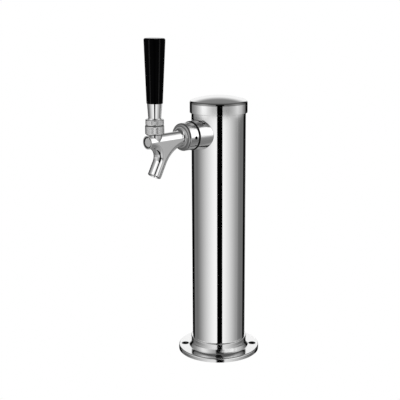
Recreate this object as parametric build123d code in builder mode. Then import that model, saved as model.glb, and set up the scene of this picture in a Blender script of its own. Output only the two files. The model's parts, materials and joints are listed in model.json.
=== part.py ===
"""Single-tap beer tower: a polished 3 in column on a round base, one draught tap, a lift-off cap.

+Z is up, the origin is the centre of the base's underside, and the tap points to -Y.
A "reach" is a distance from the column's axis towards the tap, and a "rise" is a height
above the piece that it is measured from. Screw threads are plain at their outer size.
"""
from build123d import *
import math
import os

os.makedirs("parts", exist_ok=True)

# ------------------------------------------------------------ driving dimensions (mm)
# column
column_od = 76.2
column_wall = 1.2
column_length = 358.0

# base flange, its socket for the column, and the gasket under it
base_thickness = 6.0
base_edge_round = 1.8
foot_ledge_thickness = 3.0
foot_ledge_width = 3.0
socket_fit = 0.1
socket_wall = 2.2
socket_height = 20.4
socket_lip_round = 1.2
foot_spread = 2.8
foot_cove_height = 7.5
bolt_count = 4
bolt_hole_d = 6.0
screw_head_d = 10.8
screw_head_to_foot = 0.65
screw_head_to_rim = 3.85
countersink_angle = 90.0
gasket_thickness = 1.5
gasket_width = 6.0
gasket_to_holes = 2.5

# cap
cap_fit = 0.3
cap_wall = 2.0
cap_skirt_depth = 11.1
cap_seat_height = 2.6
cap_seat_width = 1.9
cap_shoulder_round = 3.5
cap_dome_angle = 18.0
cap_edge_round = 0.4
seal_height = 2.0
seal_depth = 0.9
seal_rise = 3.2
seal_gap = 0.05

# foam inside the column
foam_fit = 0.3
foam_to_elbow = 5.0
foam_bore_d = 22.0
foam_plug_thickness = 13.0
foam_plug_drop = 3.0

# tap axis, saddle collar and shank
tap_drop = 38.0
collar_d = 40.0
collar_length = 16.0
collar_flare = 6.0
collar_edge_round = 0.8
saddle_fit = 0.05
shank_d = 22.2
shank_hole_clearance = 0.3
shank_collar_clearance = 0.15
shank_bore_d = 8.0
shank_flange_d = 32.8
shank_flange_thickness = 3.0
shank_mouth_d = 15.0
shank_mouth_depth = 6.5
saddle_washer_d = 32.0
saddle_washer_thickness = 5.5
locknut_across_flats = 30.0
locknut_thickness = 7.0
thread_fit = 0.1
collar_gasket_thickness = 0.5
collar_gasket_inset = 0.5

# line elbow inside the column
elbow_flange_d = 19.6
elbow_flange_thickness = 2.0
elbow_washer_thickness = 2.0
elbow_tube_d = 10.0
elbow_bore_d = 6.0
elbow_straight = 3.0
elbow_bend_radius = 8.0
elbow_tail_length = 28.0
barb_root_d = 8.0
barb_d = 10.2
barb_length = 3.4
barb_pitch = 4.5
barb_count = 3
elbow_nut_across_flats = 29.0
elbow_nut_web = 3.5
elbow_nut_grip = 6.0
elbow_nut_clearance = 0.5
elbow_nut_to_locknut = 3.4

# coupling nut and its joint
nut_thread_d = 28.6
nut_thread_length = 6.9
nut_gap = 1.6
nut_d = 37.8
nut_web = 5.4
nut_front_round = 3.2
nut_rear_round = 0.8
nut_hole_clearance = 0.4
spanner_hole_d = 4.8
spanner_hole_depth = 2.6
spanner_hole_count = 4
spanner_hole_setback = 5.3
coupling_washer_thickness = 1.6
slip_ring_d = 27.8
slip_ring_thickness = 1.2
slip_ring_groove = 1.3
slip_ring_split = 3.0

# faucet body
throat_d = 23.8
throat_land = 3.0
throat_disc_d = 27.9
throat_disc_gap = 0.3
throat_disc_edge = 0.4
throat_cove = 5.0
barrel_d = 17.9
barrel_width = 17.8
barrel_round = 8.8
web_drop = 1.6
nose_length = 5.0
nose_edge_round = 0.4
spout_d = 18.0
spout_angle = 28.5
spout_to_back = 32.5
spout_length = 53.4
spout_back_cove = 41.0
spout_front_cove = 11.4
cove_room_share = 0.95
spout_bore_d = 12.0
spout_tip_chamfer = 1.0
seat_bore_d = 12.4
guide_bore_d = 14.2
guide_bore_tail = 7.0
valve_chamber_d = 16.0
valve_chamber_depth = 9.4

# lever seat, bonnet and washers
lever_to_spout = 23.1
nose_to_lever = 12.9
pivot_rise = 13.8
ball_d = 14.4
ball_fit = 0.05
seat_tower_d = 18.8
seat_tower_rise = 0.9
seat_tower_blend = 5.0
finger_hole_d = 11.8
ball_washer_thickness = 2.6
friction_washer_thickness = 1.4
friction_washer_bore_d = 13.2
bonnet_d = 25.1
bonnet_gap = 0.35
bonnet_web = 3.5
bonnet_hole_d = 15.6
bonnet_top_chamfer = 1.1
bonnet_bottom_chamfer = 1.4

# shaft that carries the valve
shaft_fit = 0.05
shaft_guide_tail = 2.75
shaft_nose_recess = 0.8
shaft_nose_step = 1.3
shaft_nose_step_depth = 2.2
shaft_rod_d = 6.0
shaft_stud_d = 3.8
shaft_stud_end = 1.0
valve_washer_d = 14.6
valve_washer_thickness = 3.0
valve_nut_across_flats = 8.0
valve_nut_thickness = 2.6

# lever, which leans back a little at rest, as the tap is shut
lever_travel = 25.0
lever_lean = 1.0
lever_neck_d = 6.4
lever_stud_d = 9.5
lever_stud_grip = 15.0
finger_d = 4.0
finger_tip_d = 5.2
finger_slot_gap = 0.35
finger_side_gap = 0.6
ball_relief = 0.3

# lever collar, ferrule, handle and its threaded insert
ring_d = 24.3
ring_gap = 0.6
ring_height = 6.5
ring_hollow_gap = 0.25
ring_edge_round = 0.4
ferrule_bottom_d = 16.8
ferrule_foot_d = 18.6
ferrule_foot_height = 1.8
ferrule_top_d = 19.8
ferrule_length = 20.7
handle_bottom_d = 21.3
handle_top_d = 28.3
handle_length = 83.8
handle_top_round = 2.4
handle_bottom_round = 0.5
insert_d = 13.0
insert_length = 16.0
insert_tip_room = 2.0

# ------------------------------------------------------------ sizes that follow
column_r = column_od / 2
column_in_r = column_r - column_wall
column_top_z = foot_ledge_thickness + column_length
socket_bore_r = column_r + socket_fit
socket_r = socket_bore_r + socket_wall
foot_r = socket_r + foot_spread
cove_top_z = base_thickness + foot_cove_height
bolt_r = foot_r + screw_head_d / 2 + screw_head_to_foot
base_r = bolt_r + screw_head_d / 2 + screw_head_to_rim
base_bore_r = column_in_r - foot_ledge_width
gasket_out_r = bolt_r - bolt_hole_d / 2 - gasket_to_holes
gasket_in_r = gasket_out_r - gasket_width

cap_bore_r = column_r + cap_fit
cap_r = cap_bore_r + cap_wall
cap_bottom_z = column_top_z - cap_skirt_depth
cap_band_z = column_top_z + cap_seat_height
cap_hollow_r = column_in_r - cap_seat_width

tap_height = column_top_z - tap_drop
tail_top_z = tap_height - elbow_bend_radius
tail_end_z = tail_top_z - elbow_tail_length
foam_r = column_in_r - foam_fit
foam_sleeve_top_z = tail_end_z - foam_to_elbow
foam_plug_top_z = column_top_z - foam_plug_drop

collar_front = column_r + collar_length
collar_root_r = collar_d / 2 + collar_front * math.tan(math.radians(collar_flare))
shank_r = shank_d / 2
flange_back = collar_front - shank_flange_thickness
thread_front = collar_front + nut_thread_length
washer_flat = column_in_r - saddle_washer_thickness
nut_mouth = washer_flat - locknut_thickness - elbow_nut_to_locknut
shank_inner_reach = nut_mouth - elbow_nut_grip
elbow_face = shank_inner_reach - elbow_washer_thickness
elbow_back = elbow_face - elbow_flange_thickness
bend_reach = elbow_back - elbow_straight
tail_reach = bend_reach - elbow_bend_radius
saddle_r = column_r + saddle_fit
gasket_skin_r = saddle_r + collar_gasket_thickness

faucet_back = thread_front + coupling_washer_thickness
groove_back = faucet_back + throat_land
nut_back = collar_front + nut_gap
nut_web_back = groove_back + slip_ring_thickness
nut_front = nut_web_back + nut_web
nut_r = nut_d / 2
throat_r = throat_d / 2
nut_hole_r = throat_r + nut_hole_clearance
groove_r = throat_r - slip_ring_groove
disc_r = throat_disc_d / 2
disc_back = nut_front + throat_disc_gap
disc_front = disc_back + throat_disc_edge
barrel_r = barrel_d / 2
spout_axis_reach = faucet_back + spout_to_back
lever_reach = spout_axis_reach + lever_to_spout
nose_front = lever_reach + nose_to_lever
valve_seat = faucet_back + valve_chamber_depth
spout_lean = math.radians(spout_angle)
spout_tip = (
    spout_axis_reach + spout_length * math.sin(spout_lean),
    -spout_length * math.cos(spout_lean),
)

pivot_z = tap_height + pivot_rise
lean = math.radians(lever_lean)
ball_r = ball_d / 2
ball_seat_r = ball_r + ball_fit
seat_tower_r = seat_tower_d / 2
seat_tower_top_z = pivot_z + seat_tower_rise
ball_washer_top_z = seat_tower_top_z + ball_washer_thickness
friction_washer_top_z = ball_washer_top_z + friction_washer_thickness
bonnet_bore_r = seat_tower_r + thread_fit
bonnet_bottom_z = tap_height + barrel_r + bonnet_gap
bonnet_top_z = friction_washer_top_z + bonnet_web
bonnet_r = bonnet_d / 2

shaft_r = guide_bore_d / 2 - shaft_fit
shaft_nose = nose_front - shaft_nose_recess
slot_half_length = finger_tip_d / 2 + finger_slot_gap
tip_reach = lever_reach + pivot_rise * math.sin(lean)
guide_back = tip_reach - slot_half_length - shaft_guide_tail
guide_bore_back = guide_back - guide_bore_tail
slot_half_width = finger_tip_d / 2 + finger_side_gap
slot_flare = shaft_r * math.tan(math.radians(lever_travel))
shaft_travel = pivot_rise * (math.sin(math.radians(lever_travel) - lean) + math.sin(lean))
relief_height = pivot_rise - ball_r - ball_relief
relief_front = lever_reach + shaft_travel + slot_half_width
valve_back = valve_seat - valve_washer_thickness
valve_nut_back = valve_back - valve_nut_thickness

ring_bottom_z = bonnet_top_z + ring_gap
ring_top_z = ring_bottom_z + ring_height
ring_r = ring_d / 2
ring_hollow_r = ring_hollow_gap + math.hypot(bonnet_r, bonnet_top_z - bonnet_top_chamfer - pivot_z)
stud_r = lever_stud_d / 2
stud_bore_r = stud_r + thread_fit
stud_bottom_z = pivot_z + math.sqrt(ring_hollow_r**2 - stud_bore_r**2)
ferrule_top_z = ring_top_z + ferrule_length
stud_top_z = ferrule_top_z + lever_stud_grip
handle_top_z = ferrule_top_z + handle_length

# ------------------------------------------------------------ planes and axes
tap_axis = Axis((0, 0, tap_height), (0, -1, 0))
tap_section = Plane(origin=(0, 0, tap_height), x_dir=(0, -1, 0), z_dir=(-1, 0, 0))
seat_axis = Axis((0, -lever_reach, 0), (0, 0, 1))
seat_section = Plane(origin=(0, -lever_reach, 0), x_dir=(1, 0, 0), z_dir=(0, -1, 0))
pivot = (0, -lever_reach, pivot_z)
lean_foot = (0, -lever_reach - pivot_z * math.sin(lean), pivot_z - pivot_z * math.cos(lean))
lever_axis = Axis(lean_foot, (0, math.sin(lean), math.cos(lean)))
lever_section = Plane(
    origin=lean_foot, x_dir=(1, 0, 0), z_dir=(0, -math.cos(lean), math.sin(lean))
)


def across_tap(reach):
    """The plane across the tap axis at this reach, facing the drinker."""
    return Plane(origin=(0, -reach, tap_height), x_dir=(1, 0, 0), z_dir=(0, -1, 0))


def outline(*points):
    """A straight-sided face in the active sketch, with its corners where the points are."""
    return Polygon(*points, align=None)


def corners(sketch, *points):
    """The corners of a sketch that lie nearest to the given points."""
    return [sketch.vertices().sort_by_distance((x, y, 0))[0] for x, y in points]


def arc_between(start, end, radius, bulge):
    """The middle point of an arc from start to end; bulge is +1 to the left of the way, -1 right."""
    half = math.dist(start, end) / 2
    sagitta = radius - math.sqrt(radius**2 - half**2)
    across = ((start[1] - end[1]) / (2 * half), (end[0] - start[0]) / (2 * half))
    middle = ((start[0] + end[0]) / 2, (start[1] + end[1]) / 2)
    return (middle[0] + bulge * sagitta * across[0], middle[1] + bulge * sagitta * across[1])


# ------------------------------------------------------------ base
cove_radius = (foot_spread**2 + foot_cove_height**2) / (2 * foot_spread)
cove_foot = (foot_r, base_thickness)
cove_top = (socket_r, cove_top_z)

with BuildPart() as base_flange:
    with BuildSketch(Plane.XZ) as base_profile:
        with BuildLine():
            Polyline((base_bore_r, 0), (base_r, 0), (base_r, base_thickness), cove_foot)
            ThreePointArc(cove_foot, arc_between(cove_foot, cove_top, cove_radius, 1), cove_top)
            Polyline(
                cove_top,
                (socket_r, socket_height),
                (socket_bore_r, socket_height),
                (socket_bore_r, foot_ledge_thickness),
                (base_bore_r, foot_ledge_thickness),
                (base_bore_r, 0),
            )
        make_face()
        fillet(corners(base_profile, (base_r, base_thickness)), base_edge_round)
        fillet(corners(base_profile, (socket_r, socket_height)), socket_lip_round)
    revolve(axis=Axis.Z)
    with BuildSketch(Plane.XY):
        Circle(gasket_out_r)
        Circle(gasket_in_r, mode=Mode.SUBTRACT)
    extrude(amount=gasket_thickness, mode=Mode.SUBTRACT)
    with Locations(Plane.XY.offset(base_thickness)):
        with PolarLocations(bolt_r, bolt_count, start_angle=180 / bolt_count):
            CounterSinkHole(
                bolt_hole_d / 2, screw_head_d / 2, counter_sink_angle=countersink_angle
            )
base_flange.part.label = "base_flange"
export_step(base_flange.part, "parts/base_flange.step")

with BuildPart() as base_gasket:
    with BuildSketch(Plane.XY):
        Circle(gasket_out_r)
        Circle(gasket_in_r, mode=Mode.SUBTRACT)
    extrude(amount=gasket_thickness)
base_gasket.part.label = "base_gasket"
export_step(base_gasket.part, "parts/base_gasket.step")

# ------------------------------------------------------------ column and its foam
with BuildPart() as column_tube:
    with BuildSketch(Plane.XY.offset(foot_ledge_thickness)):
        Circle(column_r)
        Circle(column_in_r, mode=Mode.SUBTRACT)
    extrude(amount=column_length)
    with BuildSketch(across_tap(0)):
        Circle(shank_r + shank_hole_clearance)
    extrude(amount=column_od, mode=Mode.SUBTRACT)
column_tube.part.label = "column_tube"
export_step(column_tube.part, "parts/column_tube.step")

with BuildPart() as insulation_sleeve:
    with BuildSketch(Plane.XY.offset(foot_ledge_thickness)):
        Circle(foam_r)
        Circle(foam_bore_d / 2, mode=Mode.SUBTRACT)
    extrude(amount=foam_sleeve_top_z - foot_ledge_thickness)
insulation_sleeve.part.label = "insulation_sleeve"
export_step(insulation_sleeve.part, "parts/insulation_sleeve.step")

with BuildPart() as insulation_plug:
    with BuildSketch(Plane.XY.offset(foam_plug_top_z - foam_plug_thickness)):
        Circle(foam_r)
    extrude(amount=foam_plug_thickness)
insulation_plug.part.label = "insulation_plug"
export_step(insulation_plug.part, "parts/insulation_plug.step")

# ------------------------------------------------------------ cap
dome_tilt = math.radians(cap_dome_angle)
shoulder_r = cap_r - cap_shoulder_round
dome_join_r = shoulder_r + cap_shoulder_round * math.sin(dome_tilt)
dome_radius = dome_join_r / math.sin(dome_tilt)
dome_join_z = cap_band_z + cap_shoulder_round * math.cos(dome_tilt)
dome_centre_z = dome_join_z - dome_radius * math.cos(dome_tilt)
cap_top_z = dome_centre_z + dome_radius
under_dome_radius = dome_radius - cap_wall
under_dome_z = dome_centre_z + math.sqrt(under_dome_radius**2 - cap_hollow_r**2)
seal_bottom_z = cap_bottom_z + seal_rise

with BuildPart() as column_cap:
    with BuildSketch(Plane.XZ) as cap_profile:
        with BuildLine():
            dome_join = (dome_join_r, dome_join_z)
            dome_top = (0, cap_top_z)
            band_top = (cap_r, cap_band_z)
            under_edge = (cap_hollow_r, under_dome_z)
            under_top = (0, dome_centre_z + under_dome_radius)
            Line(under_top, dome_top)
            ThreePointArc(dome_top, arc_between(dome_top, dome_join, dome_radius, 1), dome_join)
            ThreePointArc(
                dome_join, arc_between(dome_join, band_top, cap_shoulder_round, 1), band_top
            )
            Polyline(
                band_top,
                (cap_r, cap_bottom_z),
                (cap_bore_r, cap_bottom_z),
                (cap_bore_r, column_top_z),
                (cap_hollow_r, column_top_z),
                under_edge,
            )
            ThreePointArc(
                under_edge, arc_between(under_edge, under_top, under_dome_radius, -1), under_top
            )
        make_face()
        fillet(corners(cap_profile, (cap_r, cap_bottom_z)), cap_edge_round)
    revolve(axis=Axis.Z)
    with BuildSketch(Plane.XZ):
        outline(
            (column_r, seal_bottom_z),
            (cap_bore_r + seal_depth, seal_bottom_z),
            (cap_bore_r + seal_depth, seal_bottom_z + seal_height),
            (column_r, seal_bottom_z + seal_height),
        )
    revolve(axis=Axis.Z, mode=Mode.SUBTRACT)
column_cap.part.label = "column_cap"
export_step(column_cap.part, "parts/column_cap.step")

with BuildPart() as cap_seal:
    with BuildSketch(Plane.XY.offset(seal_bottom_z)):
        Circle(cap_bore_r + seal_depth)
        Circle(column_r + seal_gap, mode=Mode.SUBTRACT)
    extrude(amount=seal_height)
cap_seal.part.label = "cap_seal"
export_step(cap_seal.part, "parts/cap_seal.step")

# ------------------------------------------------------------ shank through the column wall
with BuildPart() as shank_collar:
    with BuildSketch(tap_section) as collar_profile:
        outline(
            (0, shank_r + shank_collar_clearance),
            (flange_back, shank_r + shank_collar_clearance),
            (flange_back, shank_flange_d / 2 + shank_collar_clearance),
            (collar_front, shank_flange_d / 2 + shank_collar_clearance),
            (collar_front, collar_d / 2),
            (0, collar_root_r),
        )
        fillet(corners(collar_profile, (collar_front, collar_d / 2)), collar_edge_round)
    revolve(axis=tap_axis)
    with BuildSketch(Plane.XY.offset(tap_height - collar_d)):
        Circle(gasket_skin_r)
    extrude(amount=2 * collar_d, mode=Mode.SUBTRACT)
shank_collar.part.label = "shank_collar"
export_step(shank_collar.part, "parts/shank_collar.step")

with BuildPart() as collar_gasket:
    with BuildSketch(across_tap(0)):
        Circle(collar_d / 2 - collar_gasket_inset)
        Circle(shank_r + shank_collar_clearance, mode=Mode.SUBTRACT)
    extrude(amount=gasket_skin_r)
    with BuildSketch(Plane.XY.offset(tap_height - collar_d)):
        Circle(gasket_skin_r)
    extrude(amount=2 * collar_d, mode=Mode.INTERSECT)
    with BuildSketch(Plane.XY.offset(tap_height - collar_d)):
        Circle(saddle_r)
    extrude(amount=2 * collar_d, mode=Mode.SUBTRACT)
collar_gasket.part.label = "collar_gasket"
export_step(collar_gasket.part, "parts/collar_gasket.step")

with BuildPart() as faucet_shank:
    with BuildSketch(tap_section):
        outline(
            (shank_inner_reach, shank_bore_d / 2),
            (shank_inner_reach, shank_r),
            (flange_back, shank_r),
            (flange_back, shank_flange_d / 2),
            (collar_front, shank_flange_d / 2),
            (collar_front, nut_thread_d / 2),
            (thread_front, nut_thread_d / 2),
            (thread_front, shank_mouth_d / 2),
            (thread_front - shank_mouth_depth, shank_mouth_d / 2),
            (thread_front - shank_mouth_depth, shank_bore_d / 2),
        )
    revolve(axis=tap_axis)
faucet_shank.part.label = "faucet_shank"
export_step(faucet_shank.part, "parts/faucet_shank.step")

with BuildPart() as saddle_washer:
    with BuildSketch(across_tap(washer_flat)):
        Circle(saddle_washer_d / 2)
        Circle(shank_r + shank_collar_clearance, mode=Mode.SUBTRACT)
    extrude(amount=column_r - washer_flat)
    with BuildSketch(Plane.XY.offset(tap_height - saddle_washer_d)):
        Circle(column_in_r - saddle_fit)
    extrude(amount=2 * saddle_washer_d, mode=Mode.INTERSECT)
saddle_washer.part.label = "saddle_washer"
export_step(saddle_washer.part, "parts/saddle_washer.step")

with BuildPart() as shank_locknut:
    with BuildSketch(across_tap(washer_flat - locknut_thickness)):
        RegularPolygon(locknut_across_flats / 2, 6, major_radius=False)
        Circle(shank_r + thread_fit, mode=Mode.SUBTRACT)
    extrude(amount=locknut_thickness)
shank_locknut.part.label = "shank_locknut"
export_step(shank_locknut.part, "parts/shank_locknut.step")

# ------------------------------------------------------------ elbow that takes the beer line
with BuildPart() as elbow_washer:
    with BuildSketch(across_tap(elbow_face)):
        Circle(elbow_flange_d / 2)
        Circle(shank_bore_d / 2, mode=Mode.SUBTRACT)
    extrude(amount=elbow_washer_thickness)
elbow_washer.part.label = "elbow_washer"
export_step(elbow_washer.part, "parts/elbow_washer.step")

bend_start = (0, -bend_reach, tap_height)
bend_end = (0, -tail_reach, tail_top_z)
bend_slant = elbow_bend_radius * (1 - math.sqrt(0.5))
bend_middle = (0, -tail_reach - bend_slant, tap_height - bend_slant)
tail_axis = Axis((0, -tail_reach, 0), (0, 0, 1))

with BuildPart() as line_elbow:
    with BuildSketch(across_tap(elbow_back)):
        Circle(elbow_flange_d / 2)
    extrude(amount=elbow_flange_thickness)
    with BuildLine() as elbow_path:
        Line((0, -elbow_back, tap_height), bend_start)
        ThreePointArc(bend_start, bend_middle, bend_end)
    with BuildSketch(across_tap(elbow_back)):
        Circle(elbow_tube_d / 2)
    sweep(path=elbow_path.line)
    with BuildSketch(Plane.XZ.offset(tail_reach)):
        outline(
            (0, tail_top_z),
            (barb_root_d / 2, tail_top_z),
            (barb_root_d / 2, tail_end_z),
            (0, tail_end_z),
        )
        for barb in range(barb_count):
            barb_foot_z = tail_end_z + barb * barb_pitch
            outline(
                (0, barb_foot_z),
                (barb_root_d / 2, barb_foot_z),
                (barb_d / 2, barb_foot_z + barb_length),
                (0, barb_foot_z + barb_length),
            )
    revolve(axis=tail_axis)
    with BuildSketch(Plane(origin=(0, -tail_reach, tail_end_z))):
        Circle(elbow_bore_d / 2)
    extrude(amount=elbow_tail_length, mode=Mode.SUBTRACT)
    with BuildLine() as bore_path:
        Line((0, -elbow_face, tap_height), bend_start)
        ThreePointArc(bend_start, bend_middle, bend_end)
    with BuildSketch(across_tap(elbow_face)):
        Circle(elbow_bore_d / 2)
    sweep(path=bore_path.line, mode=Mode.SUBTRACT)
line_elbow.part.label = "line_elbow"
export_step(line_elbow.part, "parts/line_elbow.step")

with BuildPart() as elbow_nut:
    with BuildSketch(across_tap(elbow_back - elbow_nut_web)):
        RegularPolygon(elbow_nut_across_flats / 2, 6, major_radius=False)
    extrude(amount=nut_mouth - elbow_back + elbow_nut_web)
    with BuildSketch(across_tap(elbow_back)):
        Circle(shank_r + thread_fit)
    extrude(amount=nut_mouth - elbow_back, mode=Mode.SUBTRACT)
    with BuildSketch(across_tap(elbow_back - elbow_nut_web)):
        Circle(elbow_tube_d / 2 + elbow_nut_clearance)
    extrude(amount=elbow_nut_web, mode=Mode.SUBTRACT)
elbow_nut.part.label = "elbow_nut"
export_step(elbow_nut.part, "parts/elbow_nut.step")

# ------------------------------------------------------------ coupling between shank and faucet
with BuildPart() as coupling_washer:
    with BuildSketch(across_tap(thread_front)):
        Circle(throat_r)
        Circle(valve_chamber_d / 2, mode=Mode.SUBTRACT)
    extrude(amount=coupling_washer_thickness)
coupling_washer.part.label = "coupling_washer"
export_step(coupling_washer.part, "parts/coupling_washer.step")

with BuildPart() as slip_ring:
    with BuildSketch(across_tap(groove_back)):
        Circle(slip_ring_d / 2)
        Circle(groove_r, mode=Mode.SUBTRACT)
        with Locations((0, -groove_r)):
            Rectangle(slip_ring_split, slip_ring_d, mode=Mode.SUBTRACT)
    extrude(amount=slip_ring_thickness)
slip_ring.part.label = "slip_ring"
export_step(slip_ring.part, "parts/slip_ring.step")

with BuildPart() as coupling_nut:
    with BuildSketch(tap_section) as nut_profile:
        outline(
            (nut_back, nut_thread_d / 2 + thread_fit),
            (nut_back, nut_r),
            (nut_front, nut_r),
            (nut_front, nut_hole_r),
            (nut_web_back, nut_hole_r),
            (nut_web_back, nut_thread_d / 2 + thread_fit),
        )
        fillet(corners(nut_profile, (nut_back, nut_r)), nut_rear_round)
        fillet(corners(nut_profile, (nut_front, nut_r)), nut_front_round)
    revolve(axis=tap_axis)
    with Locations(across_tap(nut_back + spanner_hole_setback)):
        with PolarLocations(nut_r - spanner_hole_depth, spanner_hole_count):
            Cylinder(
                spanner_hole_d / 2,
                2 * spanner_hole_depth,
                rotation=(0, 90, 0),
                align=(Align.CENTER, Align.CENTER, Align.MIN),
                mode=Mode.SUBTRACT,
            )
coupling_nut.part.label = "coupling_nut"
export_step(coupling_nut.part, "parts/coupling_nut.step")

# ------------------------------------------------------------ faucet body
spout_side = spout_d / 2 / math.cos(spout_lean)
spout_tip_plane = Plane(
    origin=(0, -spout_tip[0], tap_height + spout_tip[1]),
    x_dir=(1, 0, 0),
    z_dir=(0, math.sin(spout_lean), math.cos(spout_lean)),
)
spout_section = Plane(
    origin=spout_tip_plane.origin,
    x_dir=(1, 0, 0),
    z_dir=(0, -math.cos(spout_lean), math.sin(spout_lean)),
)
spout_axis = Axis(spout_tip_plane.origin, spout_tip_plane.z_dir)
tip_half = (spout_d / 2 * math.cos(spout_lean), spout_d / 2 * math.sin(spout_lean))
web_z = -(barrel_r + web_drop)
back_corner = (spout_axis_reach - web_z * math.tan(spout_lean) - spout_side, web_z)
front_corner = (spout_axis_reach + barrel_r * math.tan(spout_lean) + spout_side, -barrel_r)
half_turn = (math.pi / 2 - spout_lean) / 2
back_cove_room = (back_corner[0] - faucet_back) / math.tan(half_turn)
front_cove_room = (nose_front - front_corner[0]) * math.tan(half_turn)
back_cove = min(spout_back_cove, cove_room_share * back_cove_room)
front_cove = min(spout_front_cove, cove_room_share * front_cove_room)


def is_long_edge(edge):
    """True on the edges that run along the barrel and the spout, not round their ends."""
    place = edge.center()
    on_side = abs(abs(place.X) - barrel_width / 2) < 0.01
    at_back = abs(place.Y + faucet_back) < 0.01
    at_nose = abs(place.Y + nose_front) < 0.01
    at_tip = abs(spout_tip_plane.to_local_coords(place).Z) < 0.01
    return on_side and not (at_back or at_nose or at_tip)


with BuildPart() as faucet_body:
    with BuildSketch(tap_section) as body_side:
        outline(
            (faucet_back, barrel_r),
            (faucet_back, web_z),
            back_corner,
            (spout_tip[0] - tip_half[0], spout_tip[1] - tip_half[1]),
            (spout_tip[0] + tip_half[0], spout_tip[1] + tip_half[1]),
            front_corner,
            (nose_front, -barrel_r),
            (nose_front, barrel_r),
        )
        fillet(corners(body_side, back_corner), back_cove)
        fillet(corners(body_side, front_corner), front_cove)
    extrude(amount=barrel_width / 2, both=True)
    fillet(faucet_body.edges().filter_by(is_long_edge), barrel_round)
    with BuildSketch(tap_section) as nose_profile:
        outline(
            (nose_front - nose_length, 0),
            (nose_front - nose_length, barrel_r),
            (nose_front, barrel_r),
            (nose_front, 0),
        )
        fillet(corners(nose_profile, (nose_front, barrel_r)), nose_edge_round)
    revolve(axis=tap_axis)
    with BuildSketch(tap_section):
        with BuildLine():
            disc_cove_start = (disc_front + throat_cove, disc_r - throat_cove)
            disc_cove_end = (disc_front, disc_r)
            ThreePointArc(
                disc_cove_start,
                arc_between(disc_cove_start, disc_cove_end, throat_cove, 1),
                disc_cove_end,
            )
            Polyline(
                disc_cove_end,
                (disc_back, disc_r),
                (disc_back, throat_r),
                (nut_web_back, throat_r),
                (nut_web_back, groove_r),
                (groove_back, groove_r),
                (groove_back, throat_r),
                (faucet_back, throat_r),
                (faucet_back, 0),
                (disc_front + throat_cove, 0),
                disc_cove_start,
            )
        make_face()
    revolve(axis=tap_axis)
    with BuildSketch(seat_section):
        outline(
            (0, tap_height),
            (barrel_width / 2, tap_height),
            (seat_tower_r, tap_height + seat_tower_blend),
            (seat_tower_r, seat_tower_top_z),
            (0, seat_tower_top_z),
        )
    revolve(axis=seat_axis)
    with Locations(pivot):
        Sphere(ball_seat_r, mode=Mode.SUBTRACT)
    with BuildSketch(Plane(origin=(0, -lever_reach, tap_height))):
        Circle(finger_hole_d / 2)
    extrude(amount=pivot_rise, mode=Mode.SUBTRACT)
    with BuildSketch(Plane(origin=(0, -lever_reach, pivot_z))):
        Circle(ball_seat_r)
    extrude(amount=seat_tower_rise, mode=Mode.SUBTRACT)
    with BuildSketch(across_tap(faucet_back)):
        Circle(valve_chamber_d / 2)
    extrude(amount=valve_chamber_depth, mode=Mode.SUBTRACT)
    with BuildSketch(across_tap(valve_seat)):
        Circle(seat_bore_d / 2)
    extrude(amount=guide_bore_back - valve_seat, mode=Mode.SUBTRACT)
    with BuildSketch(across_tap(guide_bore_back)):
        Circle(guide_bore_d / 2)
    extrude(amount=nose_front - guide_bore_back, mode=Mode.SUBTRACT)
    with BuildSketch(spout_tip_plane):
        Circle(spout_bore_d / 2)
    extrude(amount=spout_length, mode=Mode.SUBTRACT)
    with BuildSketch(spout_section):
        outline(
            (spout_d / 2 - spout_tip_chamfer, 0),
            (spout_d / 2 + spout_tip_chamfer, 0),
            (spout_d / 2 + spout_tip_chamfer, 2 * spout_tip_chamfer),
        )
    revolve(axis=spout_axis, mode=Mode.SUBTRACT)
faucet_body.part.label = "faucet_body"
export_step(faucet_body.part, "parts/faucet_body.step")

# ------------------------------------------------------------ what holds the lever's ball down
ball_washer_out_r = seat_tower_r - thread_fit
with BuildPart() as ball_washer:
    with BuildSketch(Plane(origin=(0, -lever_reach, seat_tower_top_z))):
        Circle(ball_washer_out_r)
    extrude(amount=ball_washer_thickness)
    with Locations(pivot):
        Sphere(ball_seat_r, mode=Mode.SUBTRACT)
ball_washer.part.label = "ball_washer"
export_step(ball_washer.part, "parts/ball_washer.step")

with BuildPart() as friction_washer:
    with BuildSketch(Plane(origin=(0, -lever_reach, ball_washer_top_z))):
        Circle(ball_washer_out_r)
        Circle(friction_washer_bore_d / 2, mode=Mode.SUBTRACT)
    extrude(amount=friction_washer_thickness)
friction_washer.part.label = "friction_washer"
export_step(friction_washer.part, "parts/friction_washer.step")

with BuildPart() as compression_bonnet:
    with BuildSketch(seat_section) as bonnet_profile:
        outline(
            (bonnet_bore_r, bonnet_bottom_z),
            (bonnet_r, bonnet_bottom_z),
            (bonnet_r, bonnet_top_z),
            (bonnet_hole_d / 2, bonnet_top_z),
            (bonnet_hole_d / 2, friction_washer_top_z),
            (bonnet_bore_r, friction_washer_top_z),
        )
        chamfer(corners(bonnet_profile, (bonnet_r, bonnet_bottom_z)), bonnet_bottom_chamfer)
        chamfer(corners(bonnet_profile, (bonnet_r, bonnet_top_z)), bonnet_top_chamfer)
    revolve(axis=seat_axis)
compression_bonnet.part.label = "compression_bonnet"
export_step(compression_bonnet.part, "parts/compression_bonnet.step")

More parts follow.
